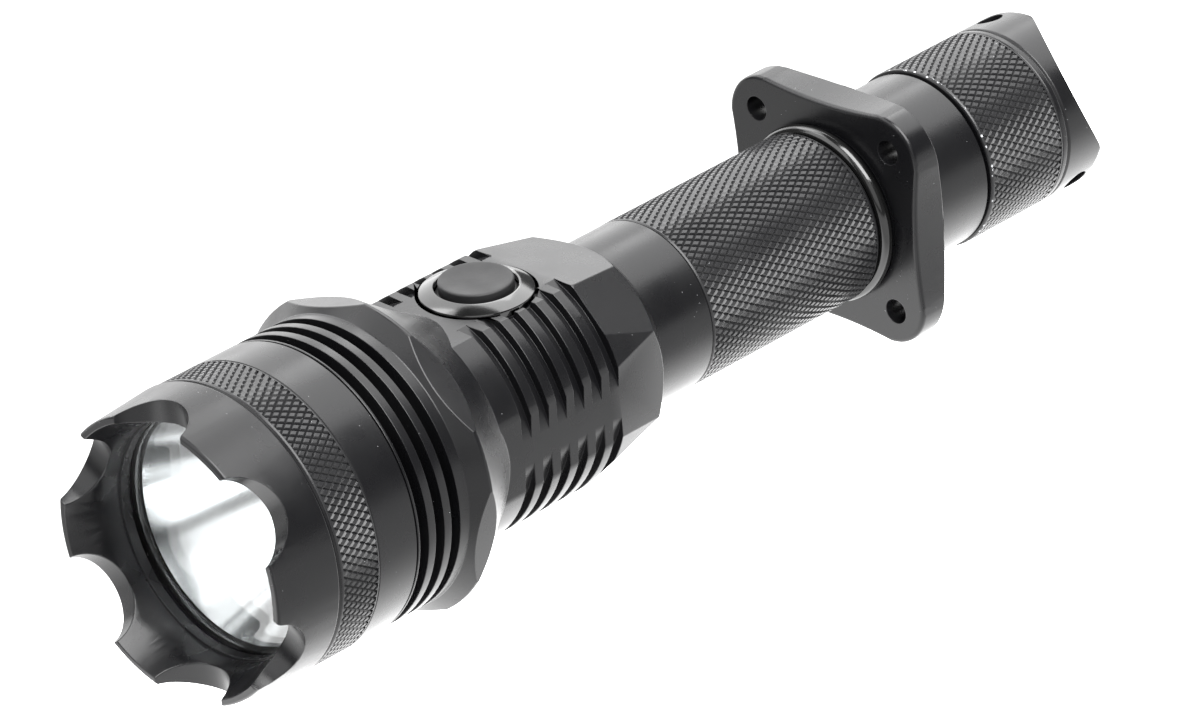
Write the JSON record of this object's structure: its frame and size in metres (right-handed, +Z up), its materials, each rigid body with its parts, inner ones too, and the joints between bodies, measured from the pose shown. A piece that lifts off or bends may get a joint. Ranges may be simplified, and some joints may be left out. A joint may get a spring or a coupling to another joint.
{
  "type": "led flashlight",
  "caption": "Tactical LED flashlight with a scalloped crown bezel, finned head, slotted switch grip, knurled tube, square anti-roll guard and a screwed tail cap with a push button.",
  "frame": {"origin": "on the beam axis, at the middle of the flashlight's length", "axes": "+X along the beam axis from the crown to the tail cap, +Z up out of the side switch, +Y to the left of someone who looks from the crown to the tail"},
  "size_m": [0.1738, 0.0462, 0.0462],
  "materials": {
    "black_anodised": "satin black hard anodising",
    "bright_ring": "dark polished anodising",
    "lens_glass": "clear, coated",
    "black_rubber": "smooth",
    "button_rubber": "fine matte moulding",
    "mirror_metal": "bright metallised mirror",
    "white_plastic": "moulded",
    "led_ceramic": "matte",
    "led_silicone": "clear silicone over phosphor",
    "board_aluminium": "white solder mask",
    "board_resin": "green solder mask",
    "component_black": "moulded",
    "screw_steel": "nickel plated",
    "lead_insulation": "silicone insulation",
    "contact_brass": "bright",
    "cell_wrap": "plastic-wrapped can"
  },
  "bodies": {
    "torch": {"head_shell": "black_anodised", "reflector": "mirror_metal", "led_centring_ring": "white_plastic", "led_package": "led_ceramic", "led_dome": "led_silicone", "led_board": "board_aluminium", "board_screws": "screw_steel", "head_body": "black_anodised", "led_leads": "lead_insulation", "driver_board": "board_resin", "driver_parts": "component_black", "driver_retainer": "contact_brass", "head_spring": "contact_brass", "switch_ring": "bright_ring", "side_switch": "screw_steel", "side_switch_board": "board_resin", "battery_tube": "black_anodised", "head_seal": "black_rubber", "guard_seal": "black_rubber", "tail_seal": "black_rubber", "battery_cell": "cell_wrap", "cell_button": "screw_steel"},
    "lens_stack": {"lens": "lens_glass", "lens_seal": "black_rubber"},
    "crown": {"crown_bezel": "black_anodised"},
    "side_key": {"side_button": "button_rubber", "side_plunger": "white_plastic"},
    "guard_ring": {"guard": "black_anodised"},
    "tail_core": {"tail_spring": "contact_brass", "tail_switch_board": "board_resin", "tail_switch": "component_black", "tail_spacer": "white_plastic", "tail_retainer": "contact_brass"},
    "cap": {"tail_cap": "black_anodised"},
    "tail_key": {"tail_button": "button_rubber", "tail_plunger": "white_plastic"}
  },
  "joints": [
    {"name": "crown_travel", "type": "slide", "parent": "torch", "child": "lens_stack", "axis": [-1, 0, 0], "range_m": [0, 0.005]},
    {"name": "crown_turn", "type": "hinge", "parent": "lens_stack", "child": "crown", "pos_m": [-0.07888, 0, 0], "axis": [-1, 0, 0], "range_deg": [0, 1440]},
    {"name": "side_key_press", "type": "slide", "parent": "torch", "child": "side_key", "axis": [0, 0, -1], "range_m": [0, 0.0005], "stiffness_N_per_m": 4000},
    {"name": "guard_turn", "type": "hinge", "parent": "torch", "child": "guard_ring", "pos_m": [0.04498, 0, 0], "axis": [1, 0, 0], "continuous": true},
    {"name": "cap_travel", "type": "slide", "parent": "torch", "child": "tail_core", "axis": [1, 0, 0], "range_m": [0, 0.007]},
    {"name": "cap_turn", "type": "hinge", "parent": "tail_core", "child": "cap", "pos_m": [0.07312, 0, 0], "axis": [1, 0, 0], "range_deg": [0, 2016]},
    {"name": "tail_key_press", "type": "slide", "parent": "cap", "child": "tail_key", "axis": [-1, 0, 0], "range_m": [0, 0.0012], "stiffness_N_per_m": 4000}
  ],
  "couplings": [
    {"joint": "crown_turn", "follows": "crown_travel", "rad_per_m": 5026.5},
    {"joint": "cap_turn", "follows": "cap_travel", "rad_per_m": 5026.5}
  ]
}
